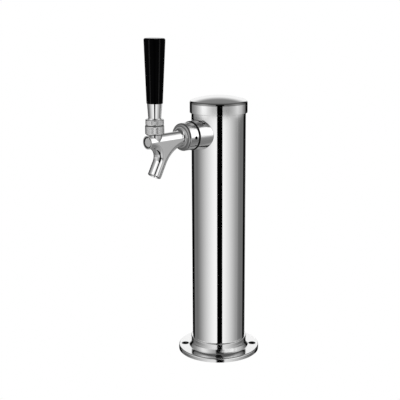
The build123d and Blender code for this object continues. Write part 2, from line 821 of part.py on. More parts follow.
# ------------------------------------------------------------ shaft and valve
with BuildPart() as faucet_shaft:
    with BuildSketch(tap_section):
        outline(
            (valve_nut_back - shaft_stud_end, 0),
            (valve_nut_back - shaft_stud_end, shaft_stud_d / 2),
            (valve_seat, shaft_stud_d / 2),
            (valve_seat, shaft_rod_d / 2),
            (guide_back, shaft_rod_d / 2),
            (guide_back, shaft_r),
            (shaft_nose - shaft_nose_step_depth, shaft_r),
            (shaft_nose - shaft_nose_step_depth, shaft_r - shaft_nose_step),
            (shaft_nose, shaft_r - shaft_nose_step),
            (shaft_nose, 0),
        )
    revolve(axis=tap_axis)
    with BuildSketch(tap_section):
        outline(
            (tip_reach - slot_half_length, -slot_half_width),
            (tip_reach + slot_half_length, -slot_half_width),
            (tip_reach + slot_half_length, 0),
            (tip_reach + slot_half_length + slot_flare, shaft_r),
            (tip_reach - slot_half_length, shaft_r),
        )
        outline(
            (tip_reach - slot_half_length, relief_height),
            (relief_front, relief_height),
            (relief_front, shaft_r + ball_relief),
            (tip_reach - slot_half_length, shaft_r + ball_relief),
        )
    extrude(amount=slot_half_width, both=True, mode=Mode.SUBTRACT)
faucet_shaft.part.label = "faucet_shaft"
export_step(faucet_shaft.part, "parts/faucet_shaft.step")

with BuildPart() as valve_washer:
    with BuildSketch(across_tap(valve_back)):
        Circle(valve_washer_d / 2)
        Circle(shaft_stud_d / 2, mode=Mode.SUBTRACT)
    extrude(amount=valve_washer_thickness)
valve_washer.part.label = "valve_washer"
export_step(valve_washer.part, "parts/valve_washer.step")

with BuildPart() as valve_nut:
    with BuildSketch(across_tap(valve_nut_back)):
        RegularPolygon(valve_nut_across_flats / 2, 6, major_radius=False)
        Circle(shaft_stud_d / 2, mode=Mode.SUBTRACT)
    extrude(amount=valve_nut_thickness)
valve_nut.part.label = "valve_nut"
export_step(valve_nut.part, "parts/valve_nut.step")

# ------------------------------------------------------------ lever, collar, ferrule and handle
with BuildPart() as lever:
    with Locations(pivot):
        Sphere(ball_r)
    with BuildSketch(lever_section):
        outline(
            (0, tap_height),
            (finger_d / 2, tap_height),
            (finger_d / 2, pivot_z),
            (lever_neck_d / 2, pivot_z),
            (lever_neck_d / 2, stud_bottom_z - (stud_r - lever_neck_d / 2)),
            (stud_r, stud_bottom_z),
            (stud_r, stud_top_z),
            (0, stud_top_z),
        )
        with Locations((0, tap_height)):
            Circle(finger_tip_d / 2)
        with Locations((-finger_tip_d / 2, tap_height)):
            Rectangle(finger_tip_d, 2 * finger_tip_d, mode=Mode.SUBTRACT)
    revolve(axis=lever_axis)
lever.part.label = "lever"
export_step(lever.part, "parts/lever.step")

with BuildPart() as lever_collar:
    with BuildSketch(lever_section) as ring_profile:
        outline(
            (stud_bore_r, ring_bottom_z),
            (ring_r, ring_bottom_z),
            (ring_r, ring_top_z),
            (stud_bore_r, ring_top_z),
        )
        fillet(corners(ring_profile, (ring_r, ring_top_z)), ring_edge_round)
    revolve(axis=lever_axis)
    with Locations(pivot):
        Sphere(ring_hollow_r, mode=Mode.SUBTRACT)
lever_collar.part.label = "lever_collar"
export_step(lever_collar.part, "parts/lever_collar.step")

with BuildPart() as handle_ferrule:
    with BuildSketch(lever_section):
        foot_top_z = ring_top_z + ferrule_foot_height
        outline(
            (stud_bore_r, ring_top_z),
            (ferrule_foot_d / 2, ring_top_z),
            (ferrule_bottom_d / 2, foot_top_z),
            (ferrule_top_d / 2, ferrule_top_z),
            (stud_bore_r, ferrule_top_z),
        )
    revolve(axis=lever_axis)
handle_ferrule.part.label = "handle_ferrule"
export_step(handle_ferrule.part, "parts/handle_ferrule.step")

with BuildPart() as tap_handle:
    with BuildSketch(lever_section) as handle_profile:
        outline(
            (0, ferrule_top_z + insert_length + insert_tip_room),
            (insert_d / 2, ferrule_top_z + insert_length + insert_tip_room),
            (insert_d / 2, ferrule_top_z),
            (handle_bottom_d / 2, ferrule_top_z),
            (handle_top_d / 2, handle_top_z),
            (0, handle_top_z),
        )
        fillet(corners(handle_profile, (handle_bottom_d / 2, ferrule_top_z)), handle_bottom_round)
        fillet(corners(handle_profile, (handle_top_d / 2, handle_top_z)), handle_top_round)
    revolve(axis=lever_axis)
tap_handle.part.label = "tap_handle"
export_step(tap_handle.part, "parts/tap_handle.step")

with BuildPart() as handle_insert:
    with BuildSketch(lever_section):
        outline(
            (stud_bore_r, ferrule_top_z),
            (insert_d / 2, ferrule_top_z),
            (insert_d / 2, ferrule_top_z + insert_length),
            (stud_bore_r, ferrule_top_z + insert_length),
        )
    revolve(axis=lever_axis)
handle_insert.part.label = "handle_insert"
export_step(handle_insert.part, "parts/handle_insert.step")

print("overall height", round(handle_top_z, 1), "cap top", round(cap_top_z, 1))
print("faucet nose reach", round(nose_front, 1), "nut front", round(nut_front, 1))
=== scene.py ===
# %% [markdown]
# # A single-tap beer tower, dressed for the camera
#
# The object is a mirror-polished steel column on a round bolted base, with one chrome tap
# and a tall black lever handle. The solid model brings every piece to its real place and
# size, so this script only adds what a solid can't hold: finishes, the ribs and threads of
# the turned pieces, a studio and a camera. Cells run from top to bottom, one step each.

import json
import math

import bpy
from mathutils import Matrix, Vector


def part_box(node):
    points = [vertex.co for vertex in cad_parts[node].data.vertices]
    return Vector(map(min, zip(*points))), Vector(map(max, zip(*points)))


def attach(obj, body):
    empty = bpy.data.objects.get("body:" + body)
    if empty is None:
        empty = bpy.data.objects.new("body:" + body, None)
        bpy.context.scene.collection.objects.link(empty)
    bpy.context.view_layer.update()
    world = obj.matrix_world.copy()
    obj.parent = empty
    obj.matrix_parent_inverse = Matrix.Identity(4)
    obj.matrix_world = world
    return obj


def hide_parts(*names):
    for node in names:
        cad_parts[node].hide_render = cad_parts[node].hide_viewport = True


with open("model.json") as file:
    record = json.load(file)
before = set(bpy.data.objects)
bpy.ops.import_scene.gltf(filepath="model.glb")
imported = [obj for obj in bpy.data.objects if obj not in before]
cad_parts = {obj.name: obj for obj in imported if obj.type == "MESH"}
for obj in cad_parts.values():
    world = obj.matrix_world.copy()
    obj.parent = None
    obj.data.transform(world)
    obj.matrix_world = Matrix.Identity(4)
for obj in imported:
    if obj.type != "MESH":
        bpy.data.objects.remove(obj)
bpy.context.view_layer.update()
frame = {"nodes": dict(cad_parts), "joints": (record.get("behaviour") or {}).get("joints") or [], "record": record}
nodes = frame["nodes"]

# %% [markdown]
# ## Sizes that the looks need
#
# Pieces that are rebuilt here must fit the solids they stand for, so their sizes are read
# from the solids' boxes wherever a box can give them. The tap's axis is level and points to
# -Y, and a "reach" is the distance from the column's axis along it.

# %% Read the tap's axis and the lever's from the solids
MM = 0.001
shank_low, shank_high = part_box("faucet_shank")
nut_low, nut_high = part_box("coupling_nut")
bonnet_low, bonnet_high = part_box("compression_bonnet")
collar_low, collar_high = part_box("lever_collar")
_, column_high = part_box("column_tube")

tap_height = (shank_low.z + shank_high.z) / 2
lever_reach = -(bonnet_low.y + bonnet_high.y) / 2
bonnet_radius = (bonnet_high.x - bonnet_low.x) / 2
column_radius = column_high.x
print("tap height", round(tap_height, 4), "lever reach", round(lever_reach, 4))

# %% [markdown]
# ## Camera
#
# The photograph looks down at about 14 degrees, from the side that shows the tap in three
# quarter view. A long lens keeps the column's sides almost parallel. The camera stands
# level with its own axis, and a small sideways shift puts the column right of the middle.

# %% Place the camera
CAMERA_DISTANCE = 1.2682
CAMERA_HEIGHT = 0.5321
CAMERA_PITCH = math.radians(13.667)
CAMERA_TURN = math.radians(45)
LENS = 82.389
SHIFT = -0.0466

camera_data = bpy.data.cameras.new("camera")
camera_data.sensor_width = 36
camera_data.lens = LENS
camera_data.shift_x = SHIFT
camera_data.clip_start = 0.01
camera_data.clip_end = 50
camera = bpy.data.objects.new("camera", camera_data)
camera.location = (
    CAMERA_DISTANCE * math.sin(CAMERA_TURN),
    -CAMERA_DISTANCE * math.cos(CAMERA_TURN),
    CAMERA_HEIGHT,
)
camera.rotation_euler = (math.pi / 2 - CAMERA_PITCH, 0, CAMERA_TURN)
bpy.context.scene.collection.objects.link(camera)
bpy.context.scene.camera = camera
bpy.context.scene.view_settings.view_transform = "Standard"
print("camera at", [round(value, 3) for value in camera.location])

# %% [markdown]
# ## Writing nodes as plain expressions
#
# Polished metal looks real because of small changes over its surface, and those are sums of
# noise. Wiring Math nodes by hand hides the sum, so one small class wraps a socket and lets
# Python's own operators add the nodes. Any other node comes from `add_node`, which sets the
# node's choices first and then its sockets.


# %% Wrap a socket so that it can be used in sums
class Amount:
    """A number that varies over a surface. Sums and products of it add Math nodes."""

    def __init__(self, tree, socket):
        self.tree = tree
        self.socket = socket

    def math(self, operation, first, second=0.5):
        return add_node(
            self.tree, "ShaderNodeMath", {"operation": operation}, {0: first, 1: second}
        )

    def __add__(self, other):
        return self.math("ADD", self, other)

    def __radd__(self, other):
        return self.math("ADD", other, self)

    def __sub__(self, other):
        return self.math("SUBTRACT", self, other)

    def __rsub__(self, other):
        return self.math("SUBTRACT", other, self)

    def __mul__(self, other):
        return self.math("MULTIPLY", self, other)

    def __rmul__(self, other):
        return self.math("MULTIPLY", other, self)

    def __truediv__(self, other):
        return self.math("DIVIDE", self, other)

    def __pow__(self, other):
        return self.math("POWER", self, other)

    def __abs__(self):
        return self.math("ABSOLUTE", self)

    def __gt__(self, other):
        return self.math("GREATER_THAN", self, other)

    def __lt__(self, other):
        return self.math("LESS_THAN", self, other)


def add_node(tree, kind, settings=None, sockets=None, output=0):
    """A new node of any kind: its choices are set first, then its sockets' values or links."""
    node = tree.nodes.new(kind)
    for name, value in (settings or {}).items():
        if name == "stops":
            set_stops(node.color_ramp, value)
        else:
            setattr(node, name, value)
    for key, value in (sockets or {}).items():
        if isinstance(value, Amount):
            tree.links.new(value.socket, node.inputs[key])
        else:
            node.inputs[key].default_value = value
    return Amount(tree, node.outputs[output]) if len(node.outputs) else node


def parts_of(tree, vector):
    """The x, y and z of a vector."""
    split = tree.nodes.new("ShaderNodeSeparateXYZ")
    tree.links.new(vector.socket, split.inputs[0])
    return [Amount(tree, output) for output in split.outputs]


def set_stops(ramp, stops):
    """Gives a colour ramp these (place, grey) stops."""
    while len(ramp.elements) > 1:
        ramp.elements.remove(ramp.elements[-1])
    for index, (place, grey) in enumerate(stops):
        element = ramp.elements[0] if index == 0 else ramp.elements.new(place)
        element.position = place
        element.color = (grey, grey, grey, 1)


print("node helpers ready")

# %% [markdown]
# ## A studio that is only seen in the metal
#
# A mirror has no colour of its own: what makes the column look like steel is the room. In
# the photograph every upright round piece shows the same things from left to right: a black
# edge, grey, a broad white band, a thin black line just right of the middle, white again,
# grey and a black edge. That is a white studio wall with a dark gap behind the camera and
# dark screens beside the object. The pieces that look upwards show more: soft light high at
# the left and right, a bright card behind the object, and a dim ceiling.
#
# Real softboxes and screens could stand round the object, but each would have to be placed
# by trial. The world shader can hold the same room as a rule of direction: how far a ray
# turns to the right of the camera's side, and how high it rises, both in degrees. The
# column's upright side only mirrors a narrow band below the horizon, so that band and the
# room above it, which the cap, the base and the tap mirror, can be set apart.

# %% Measure the direction of a ray
world = bpy.data.worlds.new("studio")
world.use_nodes = True
room = world.node_tree
room.nodes.clear()
bpy.context.scene.world = world

ray = add_node(room, "ShaderNodeTexCoord", output="Generated")
toward_camera = (math.sin(CAMERA_TURN), -math.cos(CAMERA_TURN), 0)
to_the_right = (math.cos(CAMERA_TURN), math.sin(CAMERA_TURN), 0)
DEGREES = 180 / math.pi


def along(direction):
    """How much of the ray points in this direction."""
    return add_node(
        room, "ShaderNodeVectorMath", {"operation": "DOT_PRODUCT"},
        {0: ray, 1: direction}, output="Value",
    )


side = along(to_the_right)
front = along(toward_camera)
height = along((0, 0, 1))
turn = side.math("ARCTAN2", side, front) * DEGREES
aside = abs(turn)
rise = height.math("ARCSINE", height) * DEGREES
print("ray angles ready")


# %% Walls, cards and screens as soft windows of those angles
def ramp_between(tree, value, low, high):
    """0 below low, 1 above high, and a smooth step between them."""
    return add_node(
        tree, "ShaderNodeMapRange", {"interpolation_type": "SMOOTHSTEP"},
        {"Value": value, "From Min": low, "From Max": high},
    )


def window(value, start, end, soft):
    """1 from start to end, falling to 0 over soft degrees beyond both."""
    opens = ramp_between(room, value, start - soft, start)
    return opens * (1 - ramp_between(room, value, end, end + soft))


def lay(under, mask, glow):
    """The light under a card, with the card's own glow where its mask is 1."""
    return under * (1 - mask) + glow * mask


def wall_stops(pairs):
    """Ramp stops from (degrees right of the camera, grey) pairs."""
    return [((degrees + 180) / 360, grey) for degrees, grey in pairs]


WALL_WHITE, WALL_DIM = 1.02, 0.16
GAP_START, GAP_END = -5.8, 15


def wall_grey(degrees):
    """The wall's grey at this angle from the camera: white in front, dim at the sides."""
    return max(WALL_DIM, ((1 + math.cos(math.radians(degrees))) / 2) ** 2 * WALL_WHITE)


wall_pairs = [(-180, 0.08), (-165, 0.05), (-160, 0.0), (-134, 0.0), (-130, 0.17)]
wall_pairs += [(angle, wall_grey(angle)) for angle in (-105, -90, -75, -60, -45, -30, -18)]
wall_pairs += [(-7.2, 1.0), (GAP_START, 0.0), (GAP_END, 0.0), (16.6, 1.0)]
wall_pairs += [(angle, wall_grey(angle)) for angle in (30, 45, 60, 75, 90, 105)]
wall_pairs += [(127, WALL_DIM), (131, 0.0), (151, 0.0), (156, 0.1), (180, 0.3)]
wall = add_node(
    room, "ShaderNodeValToRGB", {"stops": wall_stops(wall_pairs)}, {0: turn / 360 + 0.5}
)
print("wall stops", len(wall_pairs))

# %% Above the horizon
BEHIND_CARD, BEHIND_WALL, CEILING = 0.93, 0.24, 0.14
CARD_RISE, WALL_RISE, CEILING_RISE = (-6, 0), (15, 32), (30, 60)
BEHIND_SIDES = (150, 162)
high_pairs = [
    (-180, 0.5), (-165, 0.3), (-160, 0), (-136, 0), (-130, 0.2), (-117, 0.27), (-100, 0.4),
    (-80, 0.72), (-66, 1.0), (-54, 0.96), (-40, 0.73), (-22, 0.52), (0, 0.44), (22, 0.37),
    (40, 0.34), (60, 0.5), (80, 0.74), (100, 0.57), (117, 0.28), (130, 0.15), (136, 0), (158, 0),
    (165, 0.2), (180, 0.5),
]
upper = add_node(
    room, "ShaderNodeValToRGB", {"stops": wall_stops(high_pairs)}, {0: turn / 360 + 0.5}
)
behind = ramp_between(room, aside, *BEHIND_SIDES)
upper = lay(upper, behind * ramp_between(room, rise, *CARD_RISE), BEHIND_CARD)
upper = lay(upper, behind * ramp_between(room, rise, *WALL_RISE), BEHIND_WALL)
upper = lay(upper, ramp_between(room, rise, *CEILING_RISE), CEILING)
print("upper room stops", len(high_pairs))

# %% Below the horizon
GROUND_DIM, GROUND_LIFT = 0.3, 0.18
GROUND_SIDES, GROUND_RISE = (62, 84), (-36, -29)
ground_glow = GROUND_DIM + GROUND_LIFT * (1 - ramp_between(room, aside, *GROUND_SIDES))
lower = lay(wall, 1 - ramp_between(room, rise, *GROUND_RISE), ground_glow)
print("lower room ready")

# %% The whole room, with the dark gap laid over it
# The gap looks wider to the pieces that see above or below the column's own band.
HORIZON, HORIZON_SOFT = -8.5, 0.07
BAND_START, BAND_END = -28, -7.7
WIDE_GAP_START, WIDE_GAP_END = -11, 22
GAP_FADE_RISE = (40, 60)
glow = lay(lower, ramp_between(room, rise, HORIZON, HORIZON + HORIZON_SOFT), upper)
gap = window(turn, GAP_START, GAP_END, 1.2)
wide_gap = window(turn, WIDE_GAP_START, WIDE_GAP_END, 1.6)
outside_band = 1 - window(rise, BAND_START, BAND_END, 0.4)
gap = lay(gap, outside_band, wide_gap)
glow = lay(glow, gap * (1 - ramp_between(room, rise, *GAP_FADE_RISE)), 0.0)
print("room ready")


# %% Show the room to mirror rays only
def mix_colours(tree, share, first, second):
    """The first colour where share is 0, the second where it is 1."""
    return add_node(
        tree, "ShaderNodeMix", {"data_type": "RGBA"}, {0: share, 6: first, 7: second}, output=2
    )


WHITE = (1, 1, 1, 1)
DAYLIGHT = (0.9, 0.9, 0.9, 1)
grey_room = add_node(room, "ShaderNodeCombineColor", None, {0: glow, 1: glow, 2: glow})
path_camera = add_node(room, "ShaderNodeLightPath", output="Is Camera Ray")
path_glossy = add_node(room, "ShaderNodeLightPath", output="Is Glossy Ray")
seen_plain = mix_colours(room, path_glossy, DAYLIGHT, grey_room)
seen = mix_colours(room, path_camera, seen_plain, WHITE)
background = add_node(room, "ShaderNodeBackground", None, {"Color": seen, "Strength": 1.0})
add_node(room, "ShaderNodeOutputWorld", None, {"Surface": background})
print("studio nodes", len(room.nodes))

# %% [markdown]
# ## Light cards for single pieces
#
# A photographer lights a shiny product piece by piece, and lays the pictures over each
# other: the handle gets two thin strips, the tap gets cards mostly at its right, and the
# base gets three low cards. An area light that is linked to its own pieces does the same in
# one picture. A card is given by where a mirror would see it from the piece: its middle,
# its width and its height, all in degrees, and how bright it looks.

# %% Make the cards
CARD_DISTANCE = 1.2


def card(name, target, turn_right, rise_up, wide, tall, brightness, pieces):
    """An area light, seen from target under these angles, that only lights these pieces."""
    size = [2 * CARD_DISTANCE * math.tan(math.radians(angle) / 2) for angle in (wide, tall)]
    light = bpy.data.lights.new(name, "AREA")
    light.shape = "RECTANGLE"
    light.size, light.size_y = size
    light.energy = brightness * math.pi * size[0] * size[1]
    right, up = math.radians(turn_right), math.radians(rise_up)
    way = Vector(toward_camera) * math.cos(right) + Vector(to_the_right) * math.sin(right)
    way = way * math.cos(up) + Vector((0, 0, math.sin(up)))
    holder = bpy.data.objects.new(name, light)
    holder.location = Vector(target) + way * CARD_DISTANCE
    holder.rotation_euler = way.to_track_quat("Z", "Y").to_euler()
    holder.visible_camera = False
    bpy.context.scene.collection.objects.link(holder)
    lit = bpy.data.collections.new(name + "_lights")
    for piece in pieces:
        lit.objects.link(nodes[piece])
    holder.light_linking.receiver_collection = lit
    print(name, "size", [round(value, 2) for value in size], "lights", len(pieces))


tap_middle = (0, -lever_reach * 0.6, tap_height)
handle_middle = (0, -lever_reach, column_high.z + 50 * MM)
base_middle = (0, 0, 10 * MM)
BODY = ("faucet_body",)
BODY_AND_SHAFT = ("faucet_body", "faucet_shaft")
TAP = ("faucet_body", "coupling_nut", "shank_collar")
BASE = ("base_flange",)
HANDLE = ("tap_handle",)
CARDS = (  # name, seen from, degrees right and up, degrees wide and tall, brightness, lights
    ("right_of_tap", tap_middle, 97, 22, 42, 50, 0.75, TAP),
    ("mid_right_of_tap", tap_middle, 97, 18, 46, 50, 0.35, TAP),
    ("low_right_of_tap", tap_middle, 97, -1, 56, 28, 0.2, TAP),
    ("under_right_of_tap", tap_middle, 97, -16, 60, 34, 0.14, BODY),
    ("high_right_of_tap", tap_middle, 126, 44, 24, 30, 0.45, TAP),
    ("front_of_tap", tap_middle, 52, 6, 40, 14, 0.35, TAP),
    ("beside_gap", tap_middle, 34, 20, 30, 44, 0.9, BODY),
    ("over_tap", tap_middle, -27, 38, 46, 22, 1.0, BODY),
    ("left_of_tap", tap_middle, -92, -12, 44, 34, 0.3, BODY_AND_SHAFT),
    ("right_of_base", base_middle, 38, 12, 46, 44, 0.4, BASE),
    ("wide_right_of_base", base_middle, 43, 12, 68, 44, 0.25, BASE),
    ("behind_base", base_middle, 180, 24, 36, 26, 0.5, BASE),
    ("left_of_handle", handle_middle, -57, 0, 12, 70, 11.0, HANDLE),
    ("right_of_handle", handle_middle, 62, 0, 12, 70, 11.0, HANDLE),
)
for row in CARDS:
    card(*row)

# %% [markdown]
# ## Floor
#
# The photograph's ground is pure white and holds no shadow, so the floor is white to the
# camera and an ordinary pale floor to the light. It is hidden from mirror rays, which then
# see the studio below the horizon, as the polished column shows it.

# %% Make the floor
floor_mesh = bpy.data.meshes.new("floor")
FLOOR_REACH = 3.0
floor_mesh.from_pydata(
    [(x * FLOOR_REACH, y * FLOOR_REACH, 0) for x, y in ((-1, -1), (1, -1), (1, 1), (-1, 1))],
    [], [(0, 1, 2, 3)],
)
floor = bpy.data.objects.new("floor", floor_mesh)
bpy.context.scene.collection.objects.link(floor)
floor_material = bpy.data.materials.new("floor_white")
floor_material.use_nodes = True
ground = floor_material.node_tree
ground.nodes.clear()
matt = add_node(ground, "ShaderNodeBsdfDiffuse", None, {"Color": (0.8, 0.8, 0.8, 1)})
white = add_node(ground, "ShaderNodeEmission", None, {"Color": WHITE, "Strength": 1.0})
is_camera = add_node(ground, "ShaderNodeLightPath", output="Is Camera Ray")
add_node(
    ground, "ShaderNodeOutputMaterial", None,
    {"Surface": add_node(ground, "ShaderNodeMixShader", None, {0: is_camera, 1: matt, 2: white})},
)
floor_mesh.materials.append(floor_material)
floor.visible_glossy = False
print("floor half side", FLOOR_REACH)

# %% [markdown]
# ## Finishes
#
# All metal here is bare metal in a Principled shader: full metallic, a light grey colour
# and a roughness that says how well it was polished. What sets the pieces apart is how they
# were made. Turned pieces keep a trace of fine rings, the cast and plated tap is a little
# wavy, and hands leave a faint haze. Each of those is a small change of roughness or bump.


# %% Start a finish
def new_finish(name):
    """An empty node material and its tree."""
    material = bpy.data.materials.new(name)
    material.use_nodes = True
    material.node_tree.nodes.clear()
    return material, material.node_tree


def close_finish(tree, sockets):
    """A Principled shader with these sockets, wired to the output."""
    shader = add_node(tree, "ShaderNodeBsdfPrincipled", None, sockets)
    add_node(tree, "ShaderNodeOutputMaterial", None, {"Surface": shader})


def place(tree, scale=(1, 1, 1)):
    """The point of the object, in metres, stretched by scale."""
    point = add_node(tree, "ShaderNodeTexCoord", output="Object")
    return add_node(
        tree, "ShaderNodeVectorMath", {"operation": "MULTIPLY"}, {0: point, 1: scale}
    )


def noise(tree, point, scale, detail, roughness=0.5):
    """Soft noise from 0 to 1, with this many bumps to the metre."""
    return add_node(
        tree, "ShaderNodeTexNoise", None,
        {"Vector": point, "Scale": scale, "Detail": detail, "Roughness": roughness},
    )


def bump(tree, height_value, distance):
    """A normal that makes height_value (0 to 1) stand distance metres high."""
    return add_node(
        tree, "ShaderNodeBump", None,
        {"Height": height_value, "Distance": distance, "Strength": 1.0},
    )


print("finish helpers ready")


# %% What every metal finish shares
CLOUDED = 0.985  # a hazed place gives back this share of the light
CLOUD = {"scale": 38.0, "detail": 4.0, "roughness": 0.6}
SMEAR = {"scale": 260.0, "detail": 3.0, "roughness": 0.55}
CLOUD_SHARE = 0.6  # of the haze; the rest of it is smears


def metal(name, grey, rough, haze, wave_size=140.0, wave_height=0.0, tint=(1.0, 1.0, 1.0),
          stretch=(1, 1, 1), painted_shade=()):
    """Plated or polished metal, hazed by hands and slightly wavy.

    Its last argument holds (rule, grey) pairs of painted shade: where a rule gives 1, the metal's colour is
    painted as dark as its grey.
    """
    material, tree = new_finish(name)
    point = place(tree)
    cloud = noise(tree, point, **CLOUD)
    smear = noise(tree, place(tree, stretch), **SMEAR)
    bright = [grey * part for part in tint]
    colour = mix_colours(tree, cloud, (*[part * CLOUDED for part in bright], 1), (*bright, 1))
    # Painted shade: where a rule gives 1, the colour is painted as dark as the rule's grey.
    for rule, painted_shade_grey in painted_shade:
        colour = mix_colours(tree, rule(tree), colour, (painted_shade_grey, painted_shade_grey, painted_shade_grey, 1))
    close_finish(
        tree,
        {
            "Base Color": colour,
            "Metallic": 1.0,
            "Roughness": rough + haze * (cloud * CLOUD_SHARE + smear * (1 - CLOUD_SHARE)),
            "Normal": bump(tree, noise(tree, point, wave_size, detail=1.0), wave_height),
        },
    )
    return material


print("metal recipe ready")

# %% [markdown]
# ## Painted shade in the metal
#
# In a real tap the grooves and gaps look dark, because the metal there mirrors more metal.
# Further down the tap is left out of mirror rays, to keep the column's mirror clean, and
# with that its grooves would light up. So the materials paint shade into those places, and a
# painted dark reflection onto some faces: each rule reads where a point of the piece lies and
# gives 1 inside its place and 0 outside, and there the colour is painted dark.

# %% Measure where a point lies
screws = frame["record"]["mounts"][0]["dims"]
SCREW_OFFSET = screws["pcd_mm"] / 2 * math.sqrt(0.5) * MM
SCREW_HOLE_RADIUS = screws["hole_r_mm"] * MM


def parts_of_point(tree):
    """The x, y and z of the point of the object, in metres."""
    return parts_of(tree, add_node(tree, "ShaderNodeTexCoord", output="Object"))


def length_of(across, along_it):
    """The length of a flat vector from its two parts."""
    return (across * across + along_it * along_it) ** 0.5


def from_tap_axis(tree):
    """How far the point lies from the tap's axis."""
    across, _, up = parts_of_point(tree)
    return length_of(across, up - tap_height)


def reach_of_point(tree):
    """How far the point lies from the column's axis, toward the tap's nose."""
    return 0 - parts_of_point(tree)[1]


def from_screw(tree):
    """How far the point lies, sideways, from the nearest screw hole's axis."""
    across, back, _ = parts_of_point(tree)
    return length_of(abs(across) - SCREW_OFFSET, abs(back) - SCREW_OFFSET)


def between(value, low, high):
    """1 where value lies between low and high."""
    return (value > low) * (value < high)


print("screw offset", round(SCREW_OFFSET, 4))

# %% Rules for painted shade on the cap, the base and the collar on the column
SHOULDER_START = column_high.z + 1.9 * MM
SHOULDER_END = SHOULDER_START + 3.4 * MM
SCREW_HEAD_RADIUS = 5.4 * MM
CONE_TOP = 5.9 * MM
COLLAR_FACE_START = -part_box("shank_collar")[0].y - 0.5 * MM
SADDLE_EDGE_END = column_radius + 1.1 * MM


def cap_shoulder(tree):
    """The cap's rounded shoulder, between its band and its dome, where a dark reflection is painted."""
    return between(parts_of_point(tree)[2], SHOULDER_START, SHOULDER_END)


def countersink(tree):
    """The cone that takes a screw's head."""
    return (parts_of_point(tree)[2] < CONE_TOP) * (from_screw(tree) < SCREW_HEAD_RADIUS)


def screw_hole(tree):
    """The straight hole under the cone."""
    return from_screw(tree) < SCREW_HOLE_RADIUS


def collar_face(tree):
    """The shank collar's front face, behind the nut, and the edge round it."""
    return reach_of_point(tree) > COLLAR_FACE_START


def saddle_edge(tree):
    """The shank collar's thin edge on the column."""
    across, back, _ = parts_of_point(tree)
    return length_of(across, back) < SADDLE_EDGE_END


print("cap shoulder from", round(SHOULDER_START, 4), "to", round(SHOULDER_END, 4))

# %% Rules for painted shade on the tap's body, nose and nut
NOSE_RADIUS, GUIDE_RADIUS = 5.8 * MM, 7.7 * MM
NUT_RADIUS, NUT_FRONT = nut_high.x, -nut_low.y
NUT_ROUND_START = NUT_FRONT - 3.0 * MM
THROAT_RADIUS, THROAT_END = 9.4 * MM, NUT_FRONT + 2.0 * MM


def nose_groove(tree):
    """The ring round the shaft's nose: further from the tap's axis than the nose itself."""
    return between(from_tap_axis(tree), NOSE_RADIUS, GUIDE_RADIUS)


def throat_disc(tree):
    """The disc and cove between the barrel and the coupling nut."""
    return (from_tap_axis(tree) > THROAT_RADIUS) * (reach_of_point(tree) < THROAT_END)


def nut_face(tree):
    """The nut's front face and its rounded edge."""
    inside = from_tap_axis(tree) < NUT_RADIUS - 0.15 * MM
    return inside * (reach_of_point(tree) > NUT_ROUND_START)


def nut_inside(tree):
    """The nut's back face, bore and spanner holes."""
    inside = from_tap_axis(tree) < NUT_RADIUS - 0.3 * MM
    return inside * (reach_of_point(tree) < NUT_ROUND_START)


print("nut face from", round(NUT_ROUND_START, 4), "to", round(NUT_FRONT, 4))

# %% Rules for painted shade on the bonnet and the collar over it
BEVEL_SHADE = 1.0 * MM
COLLAR_EDGE = 0.4 * MM
COLLAR_TOP_EDGE = 0.6 * MM


def under_bonnet(tree):
    """The bonnet's lower bevel, in the shade over the tap's body."""
    return parts_of_point(tree)[2] < bonnet_low.z + BEVEL_SHADE


def ball_joint_gap(tree):
    """The bonnet's upper bevel and the collar's lower edge, with the gap between them."""
    up = parts_of_point(tree)[2]
    return between(up, bonnet_high.z - BEVEL_SHADE, collar_low.z + COLLAR_EDGE)


def collar_top(tree):
    """The collar's top face, round the ferrule's foot."""
    return parts_of_point(tree)[2] > collar_high.z - COLLAR_TOP_EDGE


print("ball joint gap from", round(bonnet_high.z - BEVEL_SHADE, 4))

# %% Steel finishes
mirror_steel = metal("mirror_steel", grey=0.93, rough=0.02, haze=0.05, stretch=(1, 1, 0.05))
# The cap's shoulder gets a painted dark reflection.
cap_steel = metal("cap_steel", grey=0.93, rough=0.02, haze=0.05, painted_shade=[(cap_shoulder, 0.34)])
# The ring round the shaft's nose gets painted shade in the groove.
shaft_steel = metal(
    "shaft_steel", grey=0.72, rough=0.08, haze=0.08, wave_height=0.01 * MM,
    painted_shade=[(nose_groove, 0.02)],
)
# The base's countersinks and screw holes get painted shade in their recesses.
turned_steel = metal(
    "turned_steel", grey=0.76, rough=0.09, haze=0.05, wave_size=60.0, wave_height=0.01 * MM,
    stretch=(1, 1, 8), painted_shade=[(countersink, 0.03), (screw_hole, 0.2)],
)
print("steel finishes made")

# %% Chrome and brass finishes
bright_chrome = metal("bright_chrome", grey=0.64, rough=0.05, haze=0.05, wave_height=0.02 * MM)
# The body's nose ring gets painted shade in the groove, and its throat disc a painted dark reflection.
tap_chrome = metal(
    "tap_chrome", grey=0.64, rough=0.03, haze=0.05, wave_height=0.01 * MM,
    painted_shade=[(nose_groove, 0.02), (throat_disc, 0.4)],
)
# The collar's face behind the nut gets painted shade in the gap, and its edge on the column a painted shade line.
collar_chrome = metal(
    "collar_chrome", grey=0.64, rough=0.08, haze=0.08, wave_height=0.02 * MM,
    painted_shade=[(collar_face, 0.02), (saddle_edge, 0.3)],
)
mirror_chrome = metal("mirror_chrome", grey=0.92, rough=0.0, haze=0.03)
tumbled_chrome = metal(
    "tumbled_chrome", grey=0.64, rough=0.12, haze=0.1, wave_size=420.0, wave_height=0.08 * MM,
)
# The nut's front face gets a painted dark reflection, and its inside painted shade.
nut_chrome = metal(
    "nut_chrome", grey=0.64, rough=0.12, haze=0.1, wave_size=420.0, wave_height=0.04 * MM,
    painted_shade=[(nut_face, 0.36), (nut_inside, 0.01)],
)
